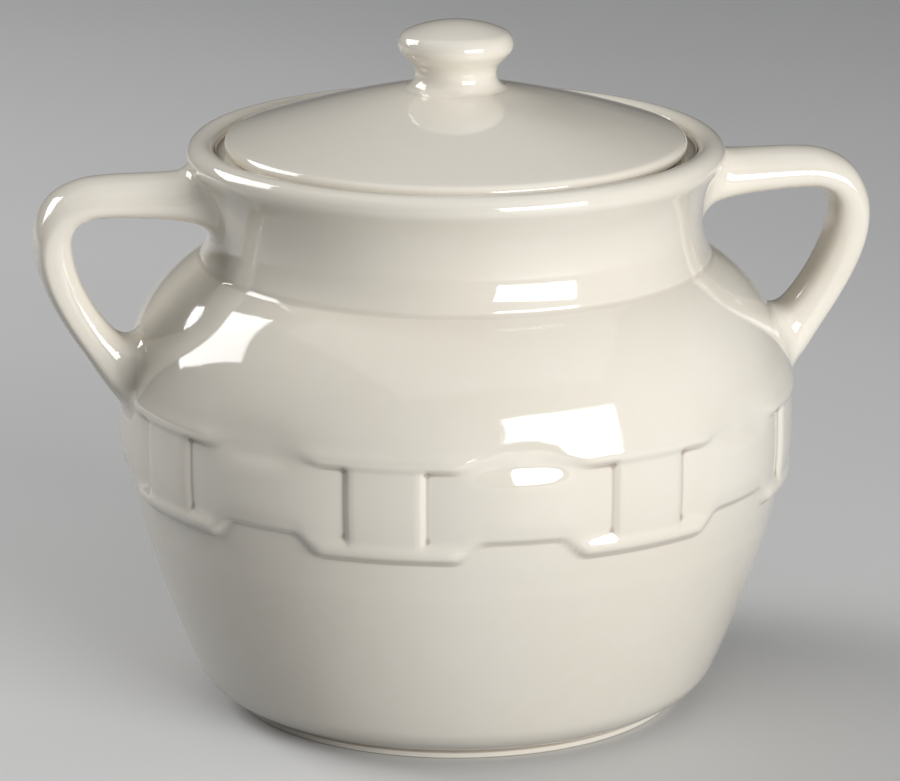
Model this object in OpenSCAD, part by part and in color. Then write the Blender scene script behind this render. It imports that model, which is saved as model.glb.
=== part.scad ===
// Two-handled stoneware cookie jar with a woven relief band and a lift-off lid.
// Millimetres, +Z up. The origin is the centre of the foot ring's resting face.
// +X runs along the line of the two handles.

/* [Body] */
// Radius of the plain wall at the widest level
belly_radius = 105.6; // [98:0.2:112]
// Height of the widest level above the table
belly_height = 100; // [92:1:108]
// Curve of the wall below the widest level
side_radius = 180; // [160:1:220]
// Curve that tucks the wall in above the foot
curl_radius = 17; // [12:0.5:22]
// Curve of the shoulder
shoulder_radius = 48; // [44:0.5:50]
// Thickness of the wall and of the floor
wall = 6; // [4:0.25:8]
// How far the foot ring stands in from the widest level
foot_inset = 34.3; // [30:0.1:40]
// Width of the ring that the jar stands on
foot_width = 9; // [6:0.5:14]
// Height of the foot ring
foot_height = 2.6; // [1.5:0.1:5]
// Bevel on the foot ring's edges
foot_bevel = 0.6; // [0.2:0.1:1]

/* [Neck and rim] */
// Radius of the neck at its narrowest
neck_radius = 77.4; // [74:0.1:80]
// Curve between the shoulder and the neck
neck_fillet = 9; // [6:0.5:12]
// How far the rolled rim stands out beyond the neck
rim_flare = 6.9; // [5:0.1:10]
// Radius of the rim's roll
rim_roll = 4.5; // [3.5:0.1:5.5]
// Rise from the widest level to the rim's top
rim_rise = 80.3; // [74:0.1:88]
// Depth of the lid's seat below the rim's top
seat_depth = 4.1; // [3:0.1:6]
// Thickness of the seat's ledge
ledge_thickness = 6; // [4:0.5:9]
// How far the ledge reaches in beyond the neck's inner face
ledge_reach = 4.9; // [2:0.1:10]

/* [Woven band] */
// Number of upright stakes round the jar
stakes = 8; // [6:1:10]
// Width of a stake as an angle
stake_angle = 13.2; // [10:0.2:16]
// How far a stake's face stands out of the wall
stake_relief = 1.5; // [1:0.1:2]
// How far the middle weaver bulges between two stakes
weaver_relief = 1.9; // [1.2:0.1:2.6]
// How far the weaver's bulge falls back towards a stake
weaver_sink = 1.45; // [1:0.05:1.7]
// Bevel on the weaver's edges
weaver_bevel = 1.2; // [0.6:0.1:1.6]
// How far the lips that cross the stakes stand out of the wall
lip_relief = 2.4; // [2:0.1:3]
// Drop from the widest level to the lower lip's edge
lower_lip_drop = 27; // [25:0.5:30]
// Rise from that edge to the lower lip's fullest level
lower_lip_rise = 3.8; // [3:0.1:5]
// Drop from the widest level to the middle weaver's lower edge
weaver_drop = 20.6; // [17:0.2:22]
// Rise from the widest level to the upper lip's edge
upper_lip_rise = 3; // [1:0.5:6]
// Curve of the lower lip, seen in section
lower_lip_curve = 9; // [8:0.5:12]
// Curve of the upper lip, seen in section
upper_lip_curve = 20; // [16:0.5:24]
// Half the width of the recess below the middle weaver
lower_gap = 12.7; // [10:0.1:15]
// Half the width of the recess above the middle weaver
upper_gap = 12.2; // [11.6:0.1:14]
// Rounding where the lower lip's end meets the middle weaver
gap_corner = 2.5; // [1.5:0.1:3]
// Rounding of the lower lip's ends
lower_lip_end = 4; // [2.5:0.1:5]
// Rounding of the upper lip's ends
upper_lip_end = 5; // [3:0.1:6]

/* [Handles] */
// How far a handle stands out beyond the widest level
handle_stand = 28.1; // [22:0.1:36]
// Thickness of a handle, seen from the side
handle_thickness = 12.2; // [10:0.1:16]
// Width of a handle, seen from its end
handle_width = 21.6; // [14:0.1:24]
// Drop from the rim's top to the middle of the handle's arm
arm_drop = 13.6; // [12:0.1:16]
// Bend at the handle's outer corner
corner_radius = 13; // [10:0.5:16]
// Bend of the handle's leg
leg_radius = 45; // [40:0.5:50]
// Growth of the arm's thickness at the neck
arm_flare_ratio = 0.85; // [0.4:0.05:0.95]
// Growth of the leg's thickness at the shoulder
leg_flare_ratio = 0.4; // [0.1:0.05:0.5]
// Growth of a handle's width at its ends
width_flare_ratio = 0.2; // [0:0.02:0.24]
// Length over which an end's growth fades
flare_length = 9.5; // [6:0.5:12]

/* [Lid] */
// Gap between the lid's edge and the rim's roll
lid_gap = 2.9; // [1.5:0.1:5]
// Radius of the lid's rounded edge
lid_edge = 2.6; // [2:0.1:3.2]
// Angle by which the dome is steeper at its edge than on average
lid_bow_angle = 3; // [1:0.5:6]
// Rise from the lid's underside to the knob's landing
lid_rise = 20.3; // [18:0.1:23]
// Thickness of the lid's dome
lid_wall = 5.5; // [4:0.25:7]
// Depth of the ring that centres the lid in the mouth
lid_ring_depth = 7.5; // [4:0.5:12]
// Thickness of that ring
lid_ring_wall = 5; // [4:0.25:7]
// Clearance between the ring and the mouth
lid_clearance = 0.8; // [0.5:0.1:1.5]

/* [Knob] */
// Radius over the knob's head
knob_radius = 17.7; // [16:0.1:20]
// Rounding of the head's rim
knob_rim = 4.4; // [3.5:0.1:5]
// Curve of the head's top
knob_top_radius = 30; // [26:0.5:40]
// Height of the knob above its landing
knob_height = 20.8; // [19:0.1:23]
// Radius of the knob's waist
knob_waist = 12.5; // [11:0.1:13]
// Rise of the waist's middle, as a share of its curve
knob_waist_ratio = 0.96; // [0.85:0.01:0.98]

/* [Hidden] */
$fn = 120;
glaze = "ivory";
// Cuts run this far past a face
past = 1;
// Neighbouring pieces of a section share this much
overlap = 0.4;

// Sizes that hang on the widest level and on the neck
foot_radius = belly_radius - foot_inset;
handle_reach = belly_radius + handle_stand;
rim_height = belly_height + rim_rise;
rim_radius = neck_radius + rim_flare;
inner_neck = neck_radius - wall;
mouth_radius = inner_neck - ledge_reach;

// Wall curves: centres of the arcs, each tangent to the next
side = [belly_radius - side_radius, belly_height];
shoulder = [belly_radius - shoulder_radius, belly_height];
curl_z = foot_height + curl_radius;
curl_drop = belly_height - curl_z;
curl = [side[0] + sqrt(pow(side_radius - curl_radius, 2) - pow(curl_drop, 2)), curl_z];
curl_way = (curl - side) / norm(curl - side);

// Neck curves: the fillet touches the shoulder, the flare touches the rim's roll
fillet_x = neck_radius + neck_fillet;
fillet = [fillet_x, shoulder[1]
    + sqrt(pow(shoulder_radius + neck_fillet, 2) - pow(fillet_x - shoulder[0], 2))];
fillet_touch = shoulder + (fillet - shoulder) * shoulder_radius / (shoulder_radius + neck_fillet);
roll = [rim_radius - rim_roll, rim_height - rim_roll];
flare_run = roll[0] - neck_radius;
flare_rise = roll[1] - fillet[1];
flare_radius = (pow(flare_run, 2) + pow(flare_rise, 2) - pow(rim_roll, 2))
    / (2 * (flare_run + rim_roll));
flare = [neck_radius + flare_radius, fillet[1]];
flare_touch = flare + (roll - flare) * flare_radius / (flare_radius + rim_roll);
seat_z = rim_height - seat_depth;
ledge_z = seat_z - ledge_thickness;

// Woven band: the weaver's axis is set off so that its bulge falls back at the stakes
pitch = 360 / stakes;
lower_lip_height = belly_height - lower_lip_drop;
lower_lip_middle = lower_lip_height + lower_lip_rise;
weaver_height = belly_height - weaver_drop;
upper_lip_height = belly_height + upper_lip_rise;
bulge_radius = belly_radius + weaver_relief;
stake_edge = pitch / 2 - stake_angle / 2;
stake_edge_radius = bulge_radius - weaver_sink;
weaver_offset = (pow(bulge_radius, 2) - pow(stake_edge_radius, 2))
    / (2 * (bulge_radius - stake_edge_radius * cos(stake_edge)));
weaver_end = stake_edge + stake_angle / 20;
weaver_half_angle = atan2(
    belly_radius * sin(weaver_end),
    belly_radius * cos(weaver_end) - weaver_offset
);

// Handle's centre line: arm, corner bend, then the leg down to the shoulder.
// Both ends run into the wall, the leg by an angle and the arm by a length.
arm_z = rim_height - arm_drop;
reach_x = handle_reach - handle_thickness / 2;
corner = [reach_x - corner_radius, arm_z - corner_radius];
leg = [reach_x - leg_radius, corner[1]];
leg_way = leg - shoulder;
leg_gap = norm(leg_way);
leg_along = (pow(shoulder_radius, 2) - pow(leg_radius, 2) + pow(leg_gap, 2)) / (2 * leg_gap);
leg_across = sqrt(pow(shoulder_radius, 2) - pow(leg_along, 2));
leg_foot = shoulder + (leg_along * leg_way + leg_across * [leg_way[1], -leg_way[0]]) / leg_gap;
leg_end = atan2(leg_foot[1] - leg[1], leg_foot[0] - leg[0]);
leg_run_in_angle = 16;
arm_run_in = 8;
arm_start = neck_radius - arm_run_in;
arm_rings = 10;
corner_rings = 10;
leg_rings = 14;
section_points = 28;

// Knob: the ball of the top, the head's rim and the waist each touch the next
landing_z = seat_z + lid_rise;
head_top = landing_z + knob_height;
ball = [0, head_top - knob_top_radius];
head_x = knob_radius - knob_rim;
head = [head_x, ball[1] + sqrt(pow(knob_top_radius - knob_rim, 2) - pow(head_x, 2))];
head_touch = ball + (head - ball) * knob_top_radius / (knob_top_radius - knob_rim);
head_rise = head[1] - landing_z;
head_step = knob_waist - head_x;
waist_square = pow(knob_waist_ratio, 2);
waist_sum = knob_rim + head_rise * knob_waist_ratio - head_step;
waist_rest = pow(head_step, 2) + pow(head_rise, 2) - pow(knob_rim, 2);
waist_curve = (waist_sum - sqrt(pow(waist_sum, 2) - waist_square * waist_rest)) / waist_square;
waist = [knob_waist + waist_curve, landing_z + waist_curve * knob_waist_ratio];
throat = waist + (head - waist) * waist_curve / (waist_curve + knob_rim);

// Lid: the dome leaves the rounded edge smoothly and ends at the knob's landing
landing = [waist[0] - waist_curve * sqrt(1 - waist_square), landing_z];
lid_radius = roll[0] - rim_roll - lid_gap;
edge = [lid_radius - lid_edge, seat_z + lid_edge];
edge_run = edge - landing;
dome_slope = atan2(-edge_run[1], edge_run[0]) - asin(lid_edge / norm(edge_run)) + lid_bow_angle;
edge_way = [sin(dome_slope), cos(dome_slope)];
edge_end = edge + lid_edge * edge_way;
edge_fill = (edge_end[1] + edge[1] + lid_edge) / 2;
dome_chord = edge_end - landing;
dome_radius = (dome_chord * dome_chord) / (2 * (dome_chord * edge_way));
dome = edge_end - dome_radius * edge_way;
ring_radius = mouth_radius - lid_clearance;

// Radius of the plain wall, grown outwards, at a height on the belly
function wall_radius(z, grow = 0) =
    z < belly_height
    ? side[0] + sqrt(pow(side_radius + grow, 2) - pow(z - side[1], 2))
    : shoulder[0] + sqrt(pow(shoulder_radius + grow, 2) - pow(z - shoulder[1], 2));

// Strip of the section plane from the axis out to a radius, between two heights
module strip(low, high, radius = 2 * belly_radius) {
    translate([0, low])
        square([radius, high - low]);
}

// Disc in the section plane, with finer steps on a large one
module disc(centre, radius) {
    translate(centre)
        circle(radius, $fn = max($fn, 2 * round(radius)));
}

// Section of the belly between the foot and the neck, grown outwards
module belly_section(grow = 0) {
    curl_end = curl[1] + (curl_radius + grow) * curl_way[1];
    base = foot_height - grow;
    strip(base, curl_end + overlap, curl[0]);
    intersection() {
        strip(base, curl_end + overlap);
        disc(curl, curl_radius + grow);
    }
    intersection() {
        strip(curl_end, belly_height);
        disc(side, side_radius + grow);
    }
    strip(belly_height - overlap, fillet_touch[1] + overlap, shoulder[0]);
    intersection() {
        strip(belly_height - overlap, fillet_touch[1] + overlap);
        disc(shoulder, shoulder_radius + grow);
    }
}

// Section of the neck and of the wall that carries the lid's seat
module neck_section() {
    difference() {
        strip(fillet_touch[1], fillet[1], fillet[0]);
        disc(fillet, neck_fillet);
    }
    difference() {
        strip(fillet[1] - overlap, flare_touch[1], rim_radius + past);
        disc(flare, flare_radius);
    }
    intersection() {
        strip(flare_touch[1] - overlap, rim_height + past);
        disc(roll, rim_roll);
    }
    strip(flare_touch[1] - overlap, seat_z, roll[0]);
}

// Section of the foot ring
module foot_section() {
    inner = foot_radius - foot_width;
    rise = foot_height + overlap;
    polygon([
        [inner + foot_bevel, 0],
        [foot_radius - foot_bevel, 0],
        [foot_radius, foot_bevel],
        [foot_radius, rise],
        [inner, rise],
        [inner, foot_bevel]
    ]);
}

// Section of the space inside the jar, up through the mouth
module cavity_section() {
    belly_section(-wall);
    polygon([
        [0, belly_height],
        [inner_neck, belly_height],
        [inner_neck, ledge_z - ledge_reach],
        [mouth_radius, ledge_z],
        [mouth_radius, seat_z + past],
        [0, seat_z + past]
    ]);
}

// Hollow pot without its relief
module plain_pot() {
    rotate_extrude()
        difference() {
            union() {
                belly_section();
                neck_section();
                foot_section();
            }
            cavity_section();
        }
}

// Two lips of the band, cut away over the middle weaver
module lips() {
    lower_x = wall_radius(lower_lip_middle) + lip_relief - lower_lip_curve;
    upper_x = wall_radius(upper_lip_height) + lip_relief - upper_lip_curve;
    difference() {
        rotate_extrude() {
            difference() {
                intersection() {
                    disc([lower_x, lower_lip_middle], lower_lip_curve);
                    strip(lower_lip_height, belly_height);
                }
                belly_section(-wall / 2);
            }
            difference() {
                intersection() {
                    disc([upper_x, upper_lip_height], upper_lip_curve);
                    strip(upper_lip_height, belly_height + upper_lip_curve);
                }
                belly_section(-wall / 2);
            }
        }
        for (i = [0 : stakes - 1])
            rotate([90, 0, 90 + i * pitch])
                translate([0, 0, belly_radius - 2 * wall])
                    linear_extrude(4 * wall) {
                        lower_recess();
                        upper_recess();
                    }
    }
}

// Outline of the recess below the middle weaver, with curved sides
module lower_recess() {
    top = weaver_height + overlap;
    low = lower_lip_height - past;
    turn = lower_lip_height + lower_lip_end - overlap;
    flat = lower_gap - gap_corner;
    translate([-flat, low])
        square([2 * flat, top - low]);
    translate([-lower_gap, low])
        square([2 * lower_gap, top - gap_corner - low]);
    for (end = [-1, 1])
        translate([end * flat, top - gap_corner])
            circle(gap_corner);
    difference() {
        translate([-lower_gap - lower_lip_end, low])
            square([2 * (lower_gap + lower_lip_end), turn - low]);
        for (end = [-1, 1])
            translate([end * (lower_gap + lower_lip_end), turn])
                circle(lower_lip_end);
    }
}

// Outline of the recess above the middle weaver, open at the top
module upper_recess() {
    low = upper_lip_height - past;
    turn = upper_lip_height + upper_lip_end - overlap;
    translate([-upper_gap, low])
        square([2 * upper_gap, upper_lip_curve + past]);
    difference() {
        translate([-upper_gap - upper_lip_end, low])
            square([2 * (upper_gap + upper_lip_end), turn - low]);
        for (end = [-1, 1])
            translate([end * (upper_gap + upper_lip_end), turn])
                circle(upper_lip_end);
    }
}

// Upright stake: a low pad that follows the wall
module stake() {
    low = weaver_height - overlap;
    high = upper_lip_height + 2 * overlap;
    rotate([0, 0, -stake_angle / 2])
        rotate_extrude(angle = stake_angle)
            intersection() {
                difference() {
                    belly_section(stake_relief);
                    belly_section(-wall / 2);
                }
                strip(low, high);
            }
}

// Middle weaver between two stakes: a barrel set off the jar's axis
module weaver() {
    low = weaver_height;
    high = upper_lip_height + overlap;
    face = bulge_radius - weaver_offset;
    low_face = wall_radius(low, weaver_relief) - weaver_offset;
    root = belly_radius - wall / 2 - weaver_offset;
    translate([weaver_offset, 0, 0])
        rotate([0, 0, -weaver_half_angle])
            rotate_extrude(angle = 2 * weaver_half_angle)
                intersection() {
                    translate([-weaver_offset, 0])
                        belly_section(weaver_relief);
                    polygon([
                        [root, low],
                        [low_face - weaver_bevel, low],
                        [face, low + weaver_bevel + face - low_face],
                        [face, high - weaver_bevel],
                        [face - weaver_bevel, high],
                        [root, high]
                    ]);
                }
}

// Woven band: stakes, the weaver behind them and the lips over them
module woven_band() {
    lips();
    for (i = [0 : stakes - 1]) {
        rotate([0, 0, (i + 0.5) * pitch])
            stake();
        rotate([0, 0, i * pitch])
            weaver();
    }
}

module jar_body() {
    color(glaze)
        union() {
            plain_pot();
            woven_band();
        }
}

// Rings of a handle: each has its place, outward direction and distances from both ends
function arm_ring(i) =
    let (x = arm_start + (corner[0] - arm_start) * i / arm_rings)
    [[x, arm_z], 90, x - neck_radius];
function corner_ring(i) =
    let (turn = 90 * (1 - i / corner_rings))
    [corner + corner_radius * [cos(turn), sin(turn)], turn, corner[0] - neck_radius];
function leg_ring(i) =
    let (turn = (leg_end - leg_run_in_angle) * i / leg_rings)
    [leg + leg_radius * [cos(turn), sin(turn)], turn, corner[0] - neck_radius];
function leg_distance(ring) =
    ring[1] > 0 ? leg_radius : leg_radius * (ring[1] - leg_end) * PI / 180;
function fade(distance) = exp(-max(distance, 0) / flare_length);
function half_thickness(ring) =
    let (arm = arm_flare_ratio * fade(ring[2]), foot = leg_flare_ratio * fade(leg_distance(ring)))
    handle_thickness / 2 * (1 + arm + foot);
function half_width(ring) =
    handle_width / 2 * (1 + width_flare_ratio * (fade(ring[2]) + fade(leg_distance(ring))));
function ring_point(ring, k) =
    let (turn = 360 * k / section_points, out = half_thickness(ring) * cos(turn))
    [ring[0][0] + out * cos(ring[1]), half_width(ring) * sin(turn), ring[0][1] + out * sin(ring[1])];

// Handle swept along its centre line with an oval section that swells at both ends
module handle_sweep() {
    rings = concat(
        [for (i = [0 : arm_rings - 1]) arm_ring(i)],
        [for (i = [0 : corner_rings - 1]) corner_ring(i)],
        [for (i = [0 : leg_rings]) leg_ring(i)]
    );
    last = len(rings) - 1;
    n = section_points;
    points = [for (ring = rings) for (k = [0 : n - 1]) ring_point(ring, k)];
    sides = [
        for (i = [0 : last - 1]) for (k = [0 : n - 1]) for (half = [0, 1])
            let (a = i * n + k, b = i * n + (k + 1) % n)
            half == 0 ? [a, b, b + n] : [a, b + n, a + n]
    ];
    start_cap = [for (k = [n - 1 : -1 : 0]) k];
    end_cap = [for (k = [0 : n - 1]) last * n + k];
    polyhedron(points, concat(sides, [start_cap, end_cap]), convexity = 4);
}

// Handle cut to sit on the neck, the rim and the shoulder
module handle() {
    difference() {
        handle_sweep();
        rotate_extrude() {
            belly_section();
            neck_section();
            strip(flare_touch[1] - overlap, rim_height, roll[0]);
        }
    }
}

module handle_right() {
    color(glaze)
        handle();
}

module handle_left() {
    color(glaze)
        mirror([1, 0, 0])
            handle();
}

// Section of the lid before it is hollowed from below
module lid_section() {
    intersection() {
        strip(edge_end[1], landing_z);
        disc(dome, dome_radius);
    }
    intersection() {
        strip(seat_z - past, edge_end[1] + overlap);
        disc(edge, lid_edge);
    }
    strip(seat_z, edge_fill, edge[0]);
    strip(seat_z - lid_ring_depth, seat_z + past, ring_radius);
}

module lid() {
    ring_foot = seat_z - lid_ring_depth;
    ceiling = landing_z - lid_wall;
    color(glaze)
        rotate_extrude()
            difference() {
                lid_section();
                intersection() {
                    strip(ring_foot - past, ceiling, ring_radius - lid_ring_wall);
                    disc(dome, dome_radius - lid_wall);
                }
            }
}

module lid_knob() {
    color(glaze)
        rotate_extrude() {
            difference() {
                strip(landing_z, throat[1], waist[0]);
                disc(waist, waist_curve);
            }
            strip(throat[1] - overlap, head_touch[1] + overlap, head[0]);
            intersection() {
                strip(throat[1] - overlap, head_touch[1] + overlap);
                disc(head, knob_rim);
            }
            intersection() {
                strip(head_touch[1], head_top + past);
                disc(ball, knob_top_radius);
            }
        }
}

jar_body();
handle_left();
handle_right();
lid();
lid_knob();
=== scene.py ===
"""Ivory-glazed stoneware cookie jar: woven relief band, two loop handles, lift-off lid and knob."""

import math

import bmesh
import bpy
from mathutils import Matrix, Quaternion, Vector


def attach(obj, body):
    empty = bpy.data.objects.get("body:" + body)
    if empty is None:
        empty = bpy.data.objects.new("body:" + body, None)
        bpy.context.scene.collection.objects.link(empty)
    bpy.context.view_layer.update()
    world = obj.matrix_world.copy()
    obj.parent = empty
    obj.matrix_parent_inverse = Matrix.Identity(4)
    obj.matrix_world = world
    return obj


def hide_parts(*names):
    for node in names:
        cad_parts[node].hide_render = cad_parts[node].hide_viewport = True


MM = 0.001

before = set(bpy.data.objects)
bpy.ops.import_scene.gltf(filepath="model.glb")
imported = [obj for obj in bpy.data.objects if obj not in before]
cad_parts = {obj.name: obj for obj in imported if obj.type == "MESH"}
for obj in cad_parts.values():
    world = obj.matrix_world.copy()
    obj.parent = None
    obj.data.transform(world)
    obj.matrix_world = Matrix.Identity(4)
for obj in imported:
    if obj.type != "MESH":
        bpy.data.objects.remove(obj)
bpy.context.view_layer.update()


# Camera and lamps: sides in degrees, distances and heights in metres, the sensor in millimetres,
# and the picture's width, the focus and the offset in pixels

IMAGE_WIDTH = 900
SENSOR = 36
CAMERA_SIDE = -10.9
CAMERA_DISTANCE = 1.45
CAMERA_HEIGHT = 0.5054
CAMERA_AIM = 0.09798
CAMERA_FOCUS = 4747
CAMERA_OFFSET = 5.93
LAMP_AIM = 0.1


def around(side, distance, height):
    """A point round the jar: side 0 is straight ahead of the front, + is to the right."""
    turn = math.radians(side)
    return Vector((distance * math.sin(turn), -distance * math.cos(turn), height))


def set_camera():
    lens = bpy.data.cameras.new("camera")
    lens.sensor_width = SENSOR
    lens.lens = SENSOR * CAMERA_FOCUS / IMAGE_WIDTH
    lens.shift_x = -CAMERA_OFFSET / IMAGE_WIDTH
    camera = bpy.data.objects.new("camera", lens)
    bpy.context.collection.objects.link(camera)
    camera.location = around(CAMERA_SIDE, CAMERA_DISTANCE, CAMERA_HEIGHT)
    aim = Vector((0, 0, CAMERA_AIM)) - camera.location
    camera.rotation_euler = aim.to_track_quat("-Z", "Y").to_euler()
    bpy.context.scene.camera = camera


def softbox(name, side, rise, distance, width, height, power, tilt=0):
    """A soft lamp that faces the jar; its side and rise are seen from the camera's side."""
    lamp = bpy.data.lights.new(name, "AREA")
    lamp.shape = "RECTANGLE"
    lamp.size = width
    lamp.size_y = height
    lamp.energy = power
    box = bpy.data.objects.new(name, lamp)
    bpy.context.collection.objects.link(box)
    level = distance * math.cos(math.radians(rise))
    above = distance * math.sin(math.radians(rise))
    box.location = around(CAMERA_SIDE + side, level, LAMP_AIM + above)
    aim = Vector((0, 0, LAMP_AIM)) - box.location
    facing = aim.to_track_quat("-Z", "Y") @ Quaternion((0, 0, 1), math.radians(tilt))
    box.rotation_euler = facing.to_euler()


# Shader maths

class Value:
    """A socket in a finish; operators on it add Math nodes."""

    def __init__(self, finish, socket):
        self.finish = finish
        self.socket = socket

    def _math(self, operation, first, second):
        return self.finish.node("ShaderNodeMath", {"operation": operation}, {0: first, 1: second})

    def __add__(self, other):
        return self._math("ADD", self, other)

    def __radd__(self, other):
        return self._math("ADD", other, self)

    def __sub__(self, other):
        return self._math("SUBTRACT", self, other)

    def __rsub__(self, other):
        return self._math("SUBTRACT", other, self)

    def __mul__(self, other):
        return self._math("MULTIPLY", self, other)

    def __rmul__(self, other):
        return self._math("MULTIPLY", other, self)

    def __gt__(self, other):
        return self._math("GREATER_THAN", self, other)

    def __lt__(self, other):
        return self._math("LESS_THAN", self, other)


class Finish:
    """A material whose nodes are added one by one."""

    def __init__(self, name):
        self.material = bpy.data.materials.new(name)
        self.material.use_nodes = True
        self.tree = self.material.node_tree
        self.shader = self.tree.nodes["Principled BSDF"]

    def node(self, kind, settings=None, sockets=None, out=0):
        made = self.tree.nodes.new(kind)
        for key, value in (settings or {}).items():
            setattr(made, key, value)
        for key, value in (sockets or {}).items():
            self.feed(made.inputs[key], value)
        return Value(self, made.outputs[out])

    def feed(self, socket, value):
        if isinstance(value, Value):
            self.tree.links.new(value.socket, socket)
        else:
            socket.default_value = value

    def set(self, **sockets):
        for key, value in sockets.items():
            self.feed(self.shader.inputs[key.replace("_", " ")], value)

    def place(self):
        return self.node("ShaderNodeTexCoord", out="Object")

    def noise(self, place, scale, detail=2.0, roughness=0.5):
        return self.node(
            "ShaderNodeTexNoise", {},
            {"Vector": place, "Scale": scale, "Detail": detail, "Roughness": roughness},
        )

    def cells(self, place, scale, out):
        return self.node("ShaderNodeTexVoronoi", {}, {"Vector": place, "Scale": scale}, out=out)

    def spread(self, value, low, high):
        """Maps a value from low..high to 0..1, held at both ends."""
        return self.node(
            "ShaderNodeMapRange", {"clamp": True, "interpolation_type": "SMOOTHSTEP"},
            {0: value, 1: low, 2: high, 3: 0.0, 4: 1.0},
        )

    def tint(self, share, colour, other):
        return self.node(
            "ShaderNodeMix", {"data_type": "RGBA"}, {0: share, 6: colour, 7: other}, out=2
        )

    def bump(self, height, strength, distance, **sockets):
        return self.node(
            "ShaderNodeBump", {},
            {"Strength": strength, "Distance": distance, "Height": height, **sockets},
        )


# Glaze and clay: colours, noise scales per metre, and how far each layer shows

IVORY = (0.80, 0.755, 0.665, 1)
IVORY_WARM = (0.775, 0.715, 0.61, 1)
IVORY_COOL = (0.81, 0.775, 0.70, 1)
# Brown of glaze pooled in the hollows, made darker as painted shade for the creases and the lines
# under the lips.
POOLED_GLAZE_AND_SHADE = (0.27, 0.19, 0.13, 1)
THIN = (0.78, 0.72, 0.62, 1)
SPECK = (0.16, 0.09, 0.05, 1)
BARE_CLAY = (0.50, 0.40, 0.29, 1)
PALE_CLAY = (0.58, 0.48, 0.36, 1)

CLOUD = {"scale": 14, "detail": 3, "roughness": 0.55}
CLOUD_SPREAD = (0.35, 0.7)
CLOUD_SHARE = 0.55
MOTTLE = {"scale": 130, "detail": 4, "roughness": 0.6}
MOTTLE_SPREAD = (0.4, 0.75)
MOTTLE_SHARE = 0.3
# How hollow a place must be to take the pooled glaze and painted shade, and how strongly it shows.
POOLED_AND_SHADE_BENDS = (0.28, 1.15)
POOLED_AND_SHADE_SHARE = 0.64
THIN_BENDS = (-0.5, -2.0)
THIN_SHARE = 0.3
SPECK_CELLS = 62.0
SPECK_PICKED = 0.9
SPECK_EDGE = (0.028, 0.016)
SPECK_SHARE = 0.8
SPECK_DEPTH = 4.0
PINHOLES = {"scale": 900, "detail": 3, "roughness": 0.6}
SWELL = {"scale": 46, "detail": 1, "roughness": 0.4}
GLOSS = 0.055
MOTTLE_DULL = 0.02
SPECK_DULL = 0.2
GRAIN = {"scale": 1500, "detail": 4, "roughness": 0.7}
BLOTCH = {"scale": 60, "detail": 3}
BLOTCH_SPREAD = (0.3, 0.7)
BLOTCH_SHARE = 0.5
CLAY_DULL = 0.75
GRAIN_DULL = 0.15


def ivory_glaze():
    """Glossy glaze: cloudy ivory, deep in the hollows and darkened there with painted shade, thin
    on the edges, specks and pinholes.
    """
    glaze = Finish("ivory_glaze")
    place = glaze.place()
    cloud = glaze.spread(glaze.noise(place, **CLOUD), *CLOUD_SPREAD)
    mottle = glaze.spread(glaze.noise(place, **MOTTLE), *MOTTLE_SPREAD)
    colour = glaze.tint(cloud * CLOUD_SHARE, IVORY, IVORY_WARM)
    colour = glaze.tint(mottle * MOTTLE_SHARE, colour, IVORY_COOL)
    bend = glaze.node("ShaderNodeAttribute", {"attribute_name": "bend"}, out="Fac")
    # Hollows take the pooled glaze's brown, darkened as painted shade.
    colour = glaze.tint(glaze.spread(bend, *POOLED_AND_SHADE_BENDS) * POOLED_AND_SHADE_SHARE, colour, POOLED_GLAZE_AND_SHADE)
    colour = glaze.tint(glaze.spread(bend, *THIN_BENDS) * THIN_SHARE, colour, THIN)
    middle = glaze.cells(place, SPECK_CELLS, "Distance")
    pick = glaze.cells(place, SPECK_CELLS, "Color")
    chosen = glaze.node("ShaderNodeSeparateColor", {}, {0: pick}) > SPECK_PICKED
    speck = glaze.spread(middle, *SPECK_EDGE) * chosen
    colour = glaze.tint(speck * SPECK_SHARE, colour, SPECK)
    ripple = glaze.bump(glaze.noise(place, **SWELL), strength=0.05, distance=0.004)
    pits = glaze.noise(place, **PINHOLES) - speck * SPECK_DEPTH
    glaze.set(
        Base_Color=colour,
        Roughness=GLOSS + mottle * MOTTLE_DULL + speck * SPECK_DULL,
        IOR=1.5,
        Coat_Weight=0.25,
        Coat_Roughness=0.03,
        Normal=glaze.bump(pits, strength=0.04, distance=0.0003, Normal=ripple),
    )
    return glaze.material


def bare_clay():
    """Unglazed stoneware on the ring that the jar stands on."""
    clay = Finish("bare_clay")
    place = clay.place()
    grain = clay.noise(place, **GRAIN)
    blotch = clay.spread(clay.noise(place, **BLOTCH), *BLOTCH_SPREAD)
    clay.set(
        Base_Color=clay.tint(blotch * BLOTCH_SHARE, BARE_CLAY, PALE_CLAY),
        Roughness=CLAY_DULL + grain * GRAIN_DULL,
        Normal=clay.bump(grain, strength=0.3, distance=0.0002),
    )
    return clay.material


# The jar's section, in millimetres; a circle is the radius and height of its middle, and its radius

FOOT_RADIUS = 71.3
FOOT_WIDTH = 9
FOOT_HEIGHT = 2.6
FOOT_ROUND = 0.7
HOLLOW_EDGE = 1.5
HOLLOW_ROUND = 1.2
GROOVE_ROUND = 0.5
GROOVE_HEIGHT = 2.35
GROOVE_TURN = 6
WALL = 6
CURL = (68, 19.6, 17)
LOW_SIDE = (-208.7, 143.05, 320)
SIDE = (-44.4, 100, 150)
SHOULDER = (57.6, 100.7, 48)
NECK_RADIUS = 77.4
NECK_WAIST = 155.4
NECK_CURVE = 24
SKIRT_LEAN = 26
SKIRT_ROUND = 2.6
CREASE_ROUND = 3.4
ROLL = (79.8, 175.8, 4.5)
ROLL_END = 172
SEAT = 176.2
SEAT_ROUND = 1.1
MOUTH = 66.5
MOUTH_ROUND = 1.5
LEDGE = 6
LEDGE_DROP = 6
LEDGE_ROUND = 3
INNER_NECK_FOOT = 144
INNER_NECK_EDGE = 1.5

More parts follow.
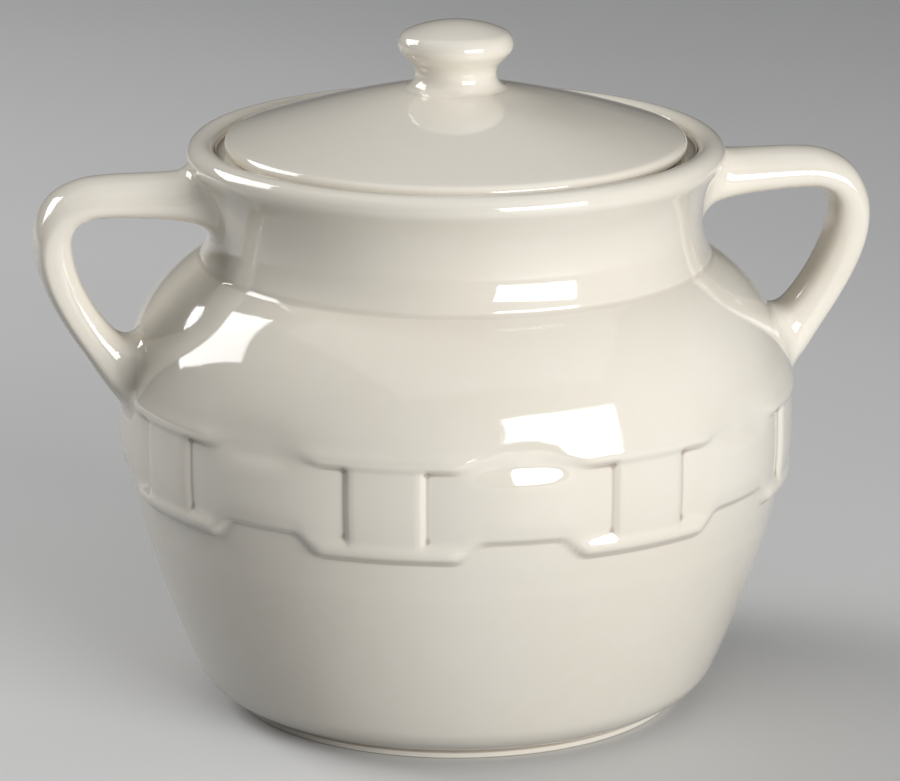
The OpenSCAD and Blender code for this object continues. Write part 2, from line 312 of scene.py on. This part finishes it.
# Rows of the mesh up the wall: how far apart they are below the band, on it and on its lines
RELIEF_LOW = 70
RELIEF_HIGH = 122
PLAIN_ROW = 2
BAND_ROW = 1.4
LINE_ROW = 0.6
LOW_LINE_ROWS = (71, 84)
HIGH_LINE_ROWS = (99, 106)
JAR_COLUMNS = 448


def arc(circle, start, end, steps):
    """Points on a circle from one angle to another, both included."""
    r, z, radius = circle
    turns = [math.radians(start + (end - start) * i / steps) for i in range(steps + 1)]
    return [(r + radius * math.cos(turn), z + radius * math.sin(turn)) for turn in turns]


def line(start, end, steps):
    """Points between two points, both left out."""
    return [
        tuple(a + (b - a) * i / steps for a, b in zip(start, end)) for i in range(1, steps)
    ]


def angle_to(circle, other):
    return math.degrees(math.atan2(other[1] - circle[1], other[0] - circle[0]))


def height_on(circle, angle):
    return circle[1] + circle[2] * math.sin(math.radians(angle))


def inside_of(circle, wall):
    return (circle[0], circle[1], circle[2] - wall)


def touching(first, second, radius):
    """Circle that touches two circles from outside, on the side away from the axis."""
    near, far = first[2] + radius, second[2] + radius
    run, rise = second[0] - first[0], second[1] - first[1]
    apart = math.hypot(run, rise)
    along = (near ** 2 - far ** 2 + apart ** 2) / (2 * apart)
    aside = math.sqrt(near ** 2 - along ** 2)
    return (
        first[0] + (along * run + aside * rise) / apart,
        first[1] + (along * rise - aside * run) / apart,
        radius,
    )


def flare_under(roll):
    """Hollow circle that runs from the neck's waist up to the rim's roll."""
    run = roll[0] - NECK_RADIUS
    rise = roll[1] - NECK_WAIST
    radius = (run ** 2 + rise ** 2 - roll[2] ** 2) / (2 * (run + roll[2]))
    return (NECK_RADIUS + radius, NECK_WAIST, radius)


NECK = (NECK_RADIUS + NECK_CURVE, NECK_WAIST, NECK_CURVE)
SKIRT = (
    NECK[0] - (NECK_CURVE + SKIRT_ROUND) * math.cos(math.radians(SKIRT_LEAN)),
    NECK[1] - (NECK_CURVE + SKIRT_ROUND) * math.sin(math.radians(SKIRT_LEAN)),
    SKIRT_ROUND,
)
CREASE = touching(SHOULDER, SKIRT, CREASE_ROUND)
FLARE = flare_under(ROLL)
CURL_END = angle_to(LOW_SIDE, CURL)
SIDE_END = angle_to(LOW_SIDE, SIDE)
SHOULDER_END = angle_to(SHOULDER, CREASE)
SKIRT_END = angle_to(SKIRT, CREASE)
FLARE_END = angle_to(ROLL, FLARE)

# The plain outer wall from the bottom up: each circle, 1 for a bulge or -1 for a hollow, its top
WALL_CURVES = (
    (CURL, 1, height_on(CURL, CURL_END)),
    (LOW_SIDE, 1, height_on(LOW_SIDE, SIDE_END)),
    (SIDE, 1, SIDE[1]),
    (SHOULDER, 1, height_on(SHOULDER, SHOULDER_END)),
    (CREASE, -1, height_on(CREASE, SKIRT_END + 180)),
    (SKIRT, 1, height_on(SKIRT, SKIRT_LEAN)),
    (NECK, -1, NECK_WAIST),
    (FLARE, -1, height_on(FLARE, FLARE_END + 180)),
    (ROLL, 1, ROLL[1] + ROLL[2]),
)


def outer_radius(z):
    """Radius of the plain outer wall at a height above the foot."""
    for (middle, level, radius), bulge, top in WALL_CURVES:
        if z < top:
            break
    rise = min(z, top) - level
    return middle + bulge * math.sqrt(max(radius ** 2 - rise ** 2, 0))


def row_above(height):
    """How far above a row of the outer wall the next row stands."""
    if height < RELIEF_LOW:
        return PLAIN_ROW
    on_line = any(low < height < high for low, high in (LOW_LINE_ROWS, HIGH_LINE_ROWS))
    return LINE_ROW if on_line else BAND_ROW


def foot_outline():
    """Section of the foot from the middle of the underside out to the groove above the ring."""
    inner = FOOT_RADIUS - FOOT_WIDTH
    hollow = inner - HOLLOW_EDGE
    points = [(0, FOOT_HEIGHT)] + line((0, FOOT_HEIGHT), (hollow, FOOT_HEIGHT), 3)
    points += arc((hollow, FOOT_HEIGHT - HOLLOW_ROUND, HOLLOW_ROUND), 90, 0, 4)
    points += arc((inner + FOOT_ROUND, FOOT_ROUND, FOOT_ROUND), 180, 270, 4)
    points += line((inner + FOOT_ROUND, 0), (FOOT_RADIUS - FOOT_ROUND, 0), 3)
    points += arc((FOOT_RADIUS - FOOT_ROUND, FOOT_ROUND, FOOT_ROUND), 270, 360, 4)
    return points + arc((FOOT_RADIUS + GROOVE_ROUND, GROOVE_HEIGHT, GROOVE_ROUND), 180, 90, 3)


def outside_outline():
    """Section of the outer wall from the groove up over the rim's roll."""
    curl_start = -math.degrees(math.acos((FOOT_RADIUS - CURL[0]) / CURL[2]))
    points = arc(CURL, curl_start + GROOVE_TURN, CURL_END, 14)
    points += arc(LOW_SIDE, CURL_END, SIDE_END, 20)[1:]
    height = points[-1][1]
    while height < RELIEF_HIGH:
        height += row_above(height)
        points.append((outer_radius(height), height))
    start = math.degrees(math.asin((height - SHOULDER[1]) / SHOULDER[2]))
    points += arc(SHOULDER, start, SHOULDER_END, 9)[1:]
    points += arc(CREASE, SHOULDER_END + 180, SKIRT_END + 180, 6)[1:]
    points += arc(SKIRT, SKIRT_END, SKIRT_LEAN, 4)[1:]
    points += arc(NECK, SKIRT_LEAN + 180, 180, 6)[1:]
    points += arc(FLARE, 180, FLARE_END + 180, 8)[1:]
    return points + arc(ROLL, FLARE_END, ROLL_END, 16)[1:]


def inside_outline(rim_foot):
    """Section of the lid's seat, the ledge, the inner wall and the floor to its middle."""
    seat_edge = rim_foot - SEAT_ROUND
    mouth_edge = MOUTH + MOUTH_ROUND
    points = arc((seat_edge, SEAT + SEAT_ROUND, SEAT_ROUND), 0, -90, 4)
    points += line((seat_edge, SEAT), (mouth_edge, SEAT), 3)
    points += arc((mouth_edge, SEAT - MOUTH_ROUND, MOUTH_ROUND), 90, 180, 4)
    ledge = SEAT - LEDGE
    inner_neck = NECK_RADIUS - WALL
    neck_foot = (inner_neck, INNER_NECK_FOOT)
    points += arc((mouth_edge, ledge + MOUTH_ROUND, MOUTH_ROUND), 180, 225, 3)
    points += arc((inner_neck - LEDGE_ROUND, ledge - LEDGE_DROP, LEDGE_ROUND), 45, 0, 3)
    points += line(points[-1], neck_foot, 3) + [neck_foot]
    inside = inside_of(SHOULDER, WALL)
    start = math.degrees(math.acos((inner_neck + INNER_NECK_EDGE - inside[0]) / inside[2]))
    points += arc(inside, start, 0, 6)
    points += arc(inside_of(SIDE, WALL), 0, SIDE_END, 4)[1:]
    points += arc(inside_of(LOW_SIDE, WALL), SIDE_END, CURL_END, 5)[1:]
    points += arc(inside_of(CURL, WALL), CURL_END, -90, 7)[1:]
    bottom = CURL[1] - CURL[2] + WALL
    return points + line((CURL[0], bottom), (0, bottom), 3) + [(0, bottom)]


def jar_outline():
    """Section of the jar from the middle of its underside, up the outside and down the inside."""
    points = foot_outline() + outside_outline()
    return points + inside_outline(points[-1][0])


# Woven band: eight stakes, the weaver between them and the lips that cross over the stakes.
# Ends are in degrees from a stake's middle, heights and reliefs in millimetres.

STAKES = 8
PITCH = 360 / STAKES
STAKE_HALF = 6.55
STAKE_SOFT = 1.15
STAKE_RELIEF = 1.75
STAKE_FOOT = (1, 5)
WEAVER_RELIEF = 1.86
WEAVER_SINK = 1.5
WEAVER_LEAST = 0.3
WEAVER_EDGE = (-0.6, 1.7)
WEAVER_SWELL = (0, 7)
WEAVER_EDGE_SHARE = 0.75
WEAVER_BLEND = 0.35
BAND_LEAN = 0.9
LEAN_HEIGHTS = (78, 102)
LOW_LINE = 73.0
GAP_LINE = 79.4
LOW_LINE_CLIMB = (11.4, 16.4)
LOW_LIP = 2.35
LOW_LIP_EDGE = (-0.6, 2.2)
LOW_LIP_TOP = (3.2, 9)
LOW_LIP_END = (10.6, 15.8)
LOW_LIP_BLEND = 1.5
HIGH_LINE = 102.4
HIGH_LINE_CLIMB = 4.5
HIGH_EDGE_SOFT = (1.1, 4.5)
HIGH_LIP = 1.45
HIGH_LIP_END = (11.0, 19.0)
HIGH_END_WIDER = (-4, 3.5)
HIGH_END_HEIGHTS = (102, 110)
BEAD_HEIGHTS = (104.5, 109)
BEAD_SHARE = 0.4
BEAD_TAIL = (105, 119)
DIP = 0.45
DIP_START = (97, 103.8)
DIP_END = (105, 117)
LEAST_BLEND = 1e-6

# Share of the way from a stake's middle to the gap's middle, and the angle a column moves to
COLUMN_STOPS = ((0, 0), (0.17, 5.6), (0.40, 7.6), (0.62, 12.0), (0.86, 18.0), (1, PITCH / 2))


def step(x, low, high):
    """Goes smoothly from 0 at low to 1 at high."""
    t = min(max((x - low) / (high - low), 0), 1)
    return t * t * (3 - 2 * t)


def mix(a, b, share):
    return a + (b - a) * share


def join(a, b, soft):
    """The larger of two heights, with the corner between them rounded where both stand out."""
    soft = max(min(soft, a + b), LEAST_BLEND)
    h = max(soft - abs(a - b), 0) / soft
    return max(a, b) + h * h * h * soft / 6


def band_face(off, z):
    """Relief of the weaver, the stakes and the lower lips."""
    above = z - mix(LOW_LINE, GAP_LINE, step(off, *LOW_LINE_CLIMB))
    across = (PITCH / 2 - off) / (PITCH / 2 - STAKE_HALF)
    weaver = max(WEAVER_RELIEF - WEAVER_SINK * across ** 2, WEAVER_LEAST)
    weaver *= mix(step(above, *WEAVER_SWELL), step(above, *WEAVER_EDGE), WEAVER_EDGE_SHARE)

    stake = STAKE_RELIEF * (1 - step(off, STAKE_HALF - STAKE_SOFT, STAKE_HALF + STAKE_SOFT))
    stake *= step(z - LOW_LINE, *STAKE_FOOT)

    lip = LOW_LIP * step(above, *LOW_LIP_EDGE) * (1 - step(above, *LOW_LIP_TOP))
    lip *= 1 - step(off, *LOW_LIP_END)
    face = join(join(weaver, stake, WEAVER_BLEND), lip, LOW_LIP_BLEND)
    return face - BAND_LEAN * step(z, *LEAN_HEIGHTS)


def relief(angle, z):
    """How far the band stands out of the plain wall."""
    off = abs((angle % PITCH) - PITCH / 2)
    face = band_face(off, z)
    wider = step(z, *HIGH_END_HEIGHTS)
    ending = step(
        off,
        HIGH_LIP_END[0] + HIGH_END_WIDER[0] * wider,
        HIGH_LIP_END[1] + HIGH_END_WIDER[1] * wider,
    )

    dip = DIP * (1 - step(z, *DIP_END))
    gap_top = mix(face, -dip, step(z, *DIP_START))

    edge = HIGH_LINE + HIGH_LINE_CLIMB * ending
    soft = mix(*HIGH_EDGE_SOFT, ending)
    bead = mix(1 - step(z, *BEAD_TAIL), 1 - step(z, *BEAD_HEIGHTS), BEAD_SHARE)
    lip_top = mix(face, HIGH_LIP * bead, step(z, edge - soft, edge + soft))
    return mix(lip_top, gap_top, ending)


def wall_radius(angle, z):
    """Radius of the outer wall with the band's relief on it."""
    raised = relief(angle, z) if RELIEF_LOW < z < RELIEF_HIGH else 0
    return outer_radius(z) + raised


def crowd(angle):
    """Turns an even angle so that more columns stand at the stakes' edges and the lips' ends."""
    cell = angle % PITCH
    off = cell - PITCH / 2
    side = 1 if off >= 0 else -1
    even = abs(off) / (PITCH / 2)
    for (a, low), (b, high) in zip(COLUMN_STOPS, COLUMN_STOPS[1:]):
        if even <= b:
            moved = low + (high - low) * (even - a) / (b - a)
            return angle - cell + PITCH / 2 + side * moved
    return angle


# Making the pieces: the axis and the clay's top in millimetres, the merge in metres

CRISP = math.radians(50)
BEND_REACH = 4
MERGE = 1e-6
SHORTEST = 1e-12
ON_AXIS = 1
CLAY_TOP = 0.35


def revolve(outline, columns):
    """A closed body from a section that starts and ends on the axis."""
    body = bmesh.new()
    chain = [body.verts.new((r * MM, 0, z * MM)) for r, z in outline]
    edges = [body.edges.new(pair) for pair in zip(chain, chain[1:])]
    bmesh.ops.spin(
        body, geom=chain + edges, axis=(0, 0, 1), cent=(0, 0, 0),
        angle=2 * math.pi, steps=columns, use_merge=True,
    )
    bmesh.ops.remove_doubles(body, verts=body.verts, dist=MERGE)
    bmesh.ops.recalc_face_normals(body, faces=body.faces)
    return body


def note_bends(body):
    """Stores how hollow (+) or sharp (-) the surface is at each vertex, for the glaze's depth and
    for the painted shade in the hollows.
    """
    layer = body.verts.layers.float.new("bend")
    body.normal_update()
    rough = {}
    for vert in body.verts:
        turns = []
        for edge in vert.link_edges:
            other = edge.other_vert(vert)
            run = other.co - vert.co
            turn = (vert.normal - other.normal).dot(run)
            turns.append(turn / max(run.length_squared, SHORTEST))
        rough[vert] = sum(turns) / len(turns) * MM
    for vert in body.verts:
        near = [rough[edge.other_vert(vert)] for edge in vert.link_edges]
        vert[layer] = BEND_REACH * (rough[vert] + sum(near) / len(near)) / 2


def piece(name, body, node, rider, finishes):
    """Turns a bmesh into a smooth piece that stands for a CAD node and rides on its body."""
    note_bends(body)
    for edge in body.edges:
        edge.smooth = edge.calc_face_angle(0) < CRISP
    for face in body.faces:
        face.smooth = True
    mesh = bpy.data.meshes.new(name)
    body.to_mesh(mesh)
    body.free()
    for finish in finishes:
        mesh.materials.append(finish)
    made = bpy.data.objects.new(name, mesh)
    bpy.context.collection.objects.link(made)
    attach(made, rider)
    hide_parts(node)


def jar(glaze, clay):
    body = revolve(jar_outline(), JAR_COLUMNS)
    for vert in body.verts:
        r = math.hypot(vert.co.x, vert.co.y) / MM
        z = vert.co.z / MM
        if r < ON_AXIS:
            continue
        angle = crowd(math.degrees(math.atan2(vert.co.y, vert.co.x)) % 360)
        if z > RELIEF_LOW and r > outer_radius(z) - WALL / 2:
            r += wall_radius(angle, z) - outer_radius(z)
        vert.co.x = r * MM * math.cos(math.radians(angle))
        vert.co.y = r * MM * math.sin(math.radians(angle))
    for face in body.faces:
        face.material_index = int(all(vert.co.z < CLAY_TOP * MM for vert in face.verts))
    piece("jar", body, "jar_body", "jar", [glaze, clay])


# Handles: a rounded section that swells where it is pressed onto the neck and the shoulder.
# Each station, from the neck round to the shoulder, is its middle (x, z), half the thickness
# and half the width.

HANDLE = (
    (68.0, 163.4, 11.8, 12.6),
    (76.0, 164.6, 9.7, 11.8),
    (83.0, 165.5, 8.1, 11.3),
    (91.0, 166.0, 7.0, 11.0),
    (100.0, 166.4, 6.5, 10.9),
    (109.0, 166.6, 6.2, 10.8),
    (117.0, 165.9, 6.0, 10.8),
    (123.5, 162.5, 6.0, 10.8),
    (126.9, 156.3, 5.9, 10.8),
    (127.1, 149.3, 5.9, 10.8),
    (125.4, 141.8, 5.8, 10.8),
    (122.2, 134.3, 5.7, 10.8),
    (117.9, 126.8, 5.7, 10.8),
    (112.7, 119.5, 6.1, 11.0),
    (106.2, 112.2, 7.8, 11.5),
    (98.0, 104.6, 10.0, 12.2),
)
# How square the section is inside the loop, and outside it on the arm and the leg; 2 is an oval
INSIDE_SQUARE = 3.0
ARM_SQUARE = 2.1
LEG_SQUARE = 3.0
# The section is widest a little below the arm's middle and outside the leg's middle
ARM_RIDGE = 0.3
LEG_RIDGE = -0.4
ARM_TO_LEG = (0.4, 0.65)
# Fillets at the two roots: outside, at the sides and inside the loop
ARM_FILLET = (4.0, 8.0, 5.5)
LEG_FILLET = (2.6, 7.0, 7.0)
FILLET_PASSES = 8
# The roots meet the wall this far under its face, and end further in, by a share of the way
HANDLE_SINK = 0.12
ROOT_SHARE = 0.3
LOOP_MIDDLE = 135
# Where each root is looked for, as shares of the handle's length, and how often that is halved
ARM_SEARCH = (0, 0.4)
LEG_SEARCH = (1, 0.6)
HALVINGS = 40
SHORT_SHARE = 0.004
SLOPE_REACH = 0.2
HANDLE_ROWS = 190
HANDLE_COLUMNS = 72
HANDLE_MERGE = 1e-7


def station(t):
    """The handle's middle, half thickness and half width at a share of its length."""
    last = len(HANDLE) - 1
    place = min(max(t, 0), 1) * last
    i = min(int(place), last - 1)
    u = place - i
    four = [HANDLE[min(max(k, 0), last)] for k in (i - 1, i, i + 1, i + 2)]
    return [
        0.5 * (2 * b + (c - a) * u + (2 * a - 5 * b + 4 * c - d) * u * u
               + (3 * b - a - 3 * c + d) * u ** 3)
        for a, b, c, d in zip(*four)
    ]


def handle_point(t, turn):
    """A point on the plain swept handle and the direction out of its middle there."""
    x, z, thick, width = station(t)
    ahead, behind = station(t + SHORT_SHARE), station(t - SHORT_SHARE)
    run = Vector((ahead[0] - behind[0], 0, ahead[1] - behind[1])).normalized()
    out = Vector((-run.z, 0, run.x))
    across = Vector((0, 1, 0))
    c, s = math.cos(turn), math.sin(turn)
    leg = step(t, *ARM_TO_LEG)
    ridge = mix(ARM_RIDGE, LEG_RIDGE, leg)
    power = 2 / (mix(ARM_SQUARE, LEG_SQUARE, leg) if c > 0 else INSIDE_SQUARE)
    lift = math.copysign(abs(c) ** power, c) + ridge * (abs(c) ** power - 1)
    spot = out * thick * lift + across * width * math.copysign(abs(s) ** power, s)
    return Vector((x, 0, z)) + spot, spot.normalized()


def clear_of_wall(point):
    """How far a point stands off the sunk wall, and the wall's outward direction there."""
    r = math.hypot(point.x, point.y)
    angle = math.degrees(math.atan2(point.y, point.x)) % 360
    wall = wall_radius(angle, point.z) - HANDLE_SINK
    rise = wall_radius(angle, point.z + SLOPE_REACH) - wall_radius(angle, point.z - SLOPE_REACH)
    slope = rise / (2 * SLOPE_REACH)
    lean = math.sqrt(1 + slope * slope)
    normal = Vector((point.x / r, point.y / r, -slope)) / lean
    return (r - wall) / lean, normal


def wall_share(turn, start, end):
    """The share of the length at which one line along the handle meets the wall."""
    for _ in range(HALVINGS):
        middle = (start + end) / 2
        if clear_of_wall(handle_point(middle, turn)[0])[0] < 0:
            start = middle
        else:
            end = middle
    return end


def root_fillet(turn, radii):
    """The fillet's radius on one line along the handle."""
    outside, side, inside = radii
    c = math.cos(turn)
    return mix(side, outside if c > 0 else inside, c * c)


def blend_root(point, out, fillet):
    """Moves a point near the wall out along it, so that the root runs into it in a fillet."""
    clear, normal = clear_of_wall(point)
    clear = max(clear, 0)
    if clear >= fillet:
        return point
    spread = fillet - math.sqrt(fillet ** 2 - (fillet - clear) ** 2)
    along_wall = (out - normal * out.dot(normal)).normalized()
    point = point + along_wall * spread
    for _ in range(FILLET_PASSES):
        now, normal = clear_of_wall(point)
        point = point + normal * (clear - now)
    return point


def close_roots(body, hand):
    """Draws the two open ends into the wall and closes them there."""
    rims = [edge for edge in body.edges if edge.is_boundary]
    for grown in bmesh.ops.extrude_edge_only(body, edges=rims)["geom"]:
        if isinstance(grown, bmesh.types.BMVert):
            x, z, _, _ = HANDLE[0] if grown.co.z > LOOP_MIDDLE * MM else HANDLE[-1]
            grown.co = grown.co.lerp(Vector((hand * x, 0, z)) * MM, ROOT_SHARE)
    bmesh.ops.holes_fill(body, edges=body.edges, sides=0)
    bmesh.ops.recalc_face_normals(body, faces=body.faces)


def handle(name, node, glaze, hand):
    """One handle, to the right (hand 1) or the left (hand -1)."""
    body = bmesh.new()
    bmesh.ops.create_grid(body, x_segments=HANDLE_ROWS, y_segments=HANDLE_COLUMNS, size=0.5)
    spans = {}
    for vert in body.verts:
        along = vert.co.x + 0.5
        key = round((vert.co.y + 0.5) * HANDLE_COLUMNS) % HANDLE_COLUMNS
        turn = 2 * math.pi * key / HANDLE_COLUMNS
        if key not in spans:
            spans[key] = (wall_share(turn, *ARM_SEARCH), wall_share(turn, *LEG_SEARCH))
        start, end = spans[key]
        t = start + (end - start) * (0.5 - 0.5 * math.cos(math.pi * along))
        point, out = handle_point(t, turn)
        fillet = root_fillet(turn, ARM_FILLET if along < 0.5 else LEG_FILLET)
        point = blend_root(point, out, fillet)
        vert.co = (hand * point.x * MM, point.y * MM, point.z * MM)
    bmesh.ops.remove_doubles(body, verts=body.verts, dist=HANDLE_MERGE)
    close_roots(body, hand)
    piece(name, body, node, "jar", [glaze])


# Lid and knob

LID_EDGE = (69.8, 178.8, 2.6)
LID_DOME = (-102.283, -334.28, 543.769)
LID_WALL = 5.5
LID_COLUMNS = 256
LANDING = (15.857, 196.5)
CEILING_FLAT = 11
CEILING_DROP = 0.6
RING_OUT = 65.7
RING_IN = 60.7
RING_FOOT = 168.7
RING_ROUND = 1.5
RING_NECK = 0.8
KNOB_WAIST = (17.567, 201.1, 4.867)
KNOB_HEAD = (13.7, 210.2, 4.3)
KNOB_BALL = (0, 178.08, 39.22)
KNOB_UNDER = 45
KNOB_SINK = 0.6
KNOB_COLUMNS = 128


def lid_outline():
    """Section of the lid from the middle of its underside, round its ring, to its top's middle."""
    ceiling = LANDING[1] - LID_WALL
    under = inside_of(LID_DOME, LID_WALL)
    dome_start = angle_to(LID_DOME, LID_EDGE)
    dome_end = angle_to(LID_DOME, LANDING)
    inner_start = math.degrees(math.asin((ceiling - CEILING_DROP - under[1]) / under[2]))
    inner_end = math.degrees(math.acos((RING_IN - RING_ROUND - under[0]) / under[2]))
    flat = (CEILING_FLAT, ceiling)
    points = [(0, ceiling)] + line((0, ceiling), flat, 3) + [flat]
    points += arc(under, inner_start, inner_end, 12)
    ring_round = RING_FOOT + RING_ROUND
    points += line(points[-1], (RING_IN, ring_round), 4)
    points += arc((RING_IN + RING_ROUND, ring_round, RING_ROUND), 180, 270, 4)
    points += arc((RING_OUT - RING_ROUND, ring_round, RING_ROUND), 270, 360, 4)
    points += line(points[-1], (RING_OUT, SEAT - RING_NECK), 3)
    points += arc((RING_OUT + RING_NECK, SEAT - RING_NECK, RING_NECK), 180, 90, 3)
    points += arc(LID_EDGE, -90, dome_start, 16)
    points += arc(LID_DOME, dome_start, dome_end, 24)[1:]
    return points + line(LANDING, (0, LANDING[1]), 3) + [(0, LANDING[1])]


def lid(glaze):
    piece("lid_dome", revolve(lid_outline(), LID_COLUMNS), "lid", "lid", [glaze])


def knob_outline():
    """Section of the knob from the middle of its landing, round its waist and head, to its top."""
    touch = angle_to(KNOB_BALL, KNOB_HEAD)
    foot = angle_to(LID_DOME, KNOB_WAIST) - 180
    sunk = LANDING[1] - KNOB_SINK
    points = [(0, sunk)] + line((0, sunk), (LANDING[0], sunk), 3) + [(LANDING[0], sunk)]
    points += arc(KNOB_WAIST, foot, KNOB_UNDER - 270, 16)
    points += arc(KNOB_HEAD, -KNOB_UNDER, touch, 22)
    return points + arc(KNOB_BALL, touch, 90, 16)[1:]


def knob(glaze):
    piece("knob", revolve(knob_outline(), KNOB_COLUMNS), "lid_knob", "lid", [glaze])


# Floor and light

FLOOR_HALF = 4
FLOOR_PALE = (0.66, 0.66, 0.655, 1)
FLOOR_PALER = (0.69, 0.69, 0.685, 1)
FLOOR_THROWN = (0.24, 0.24, 0.24, 1)
FLOOR_SHADE = {"scale": 3, "detail": 2}
FLOOR_SPREAD = (0.3, 0.7)
SEEN_RAYS = ("Is Camera Ray", "Is Glossy Ray", "Is Transmission Ray")
ROOM_COLOUR = (0.9, 0.94, 1, 1)
ROOM_STRENGTH = 0.05


def floor():
    """Paper sheet: pale where it is seen or mirrored, but throwing little light onto the jar."""
    paper = Finish("floor_paper")
    shade = paper.spread(paper.noise(paper.place(), **FLOOR_SHADE), *FLOOR_SPREAD)
    pale = paper.tint(shade, FLOOR_PALE, FLOOR_PALER)
    camera, glossy, through = [paper.node("ShaderNodeLightPath", out=ray) for ray in SEEN_RAYS]
    paper.set(
        Base_Color=paper.tint(camera + glossy + through, FLOOR_THROWN, pale),
        Roughness=0.55,
        Specular_IOR_Level=0.3,
    )
    body = bmesh.new()
    bmesh.ops.create_grid(body, x_segments=4, y_segments=4, size=FLOOR_HALF)
    mesh = bpy.data.meshes.new("floor")
    body.to_mesh(mesh)
    body.free()
    mesh.materials.append(paper.material)
    made = bpy.data.objects.new("floor", mesh)
    bpy.context.collection.objects.link(made)


def studio():
    scene = bpy.context.scene
    scene.view_settings.view_transform = "Standard"
    room = bpy.data.worlds.new("studio")
    room.use_nodes = True
    light = room.node_tree.nodes["Background"].inputs
    light["Color"].default_value = ROOM_COLOUR
    light["Strength"].default_value = ROOM_STRENGTH
    scene.world = room
    softbox("key", side=36.5, rise=14.2, distance=1.7, width=1.13, height=0.66, power=27)
    softbox(
        "back", side=-114.5, rise=31, distance=1.7, width=0.86, height=0.86, power=18, tilt=-35
    )
    softbox("top", side=20, rise=80, distance=1.6, width=2.2, height=2.2, power=8.6)


set_camera()
studio()
floor()
ivory = ivory_glaze()
jar(ivory, bare_clay())
handle("right_handle", "handle_right", ivory, 1)
handle("left_handle", "handle_left", ivory, -1)
lid(ivory)
knob(ivory)
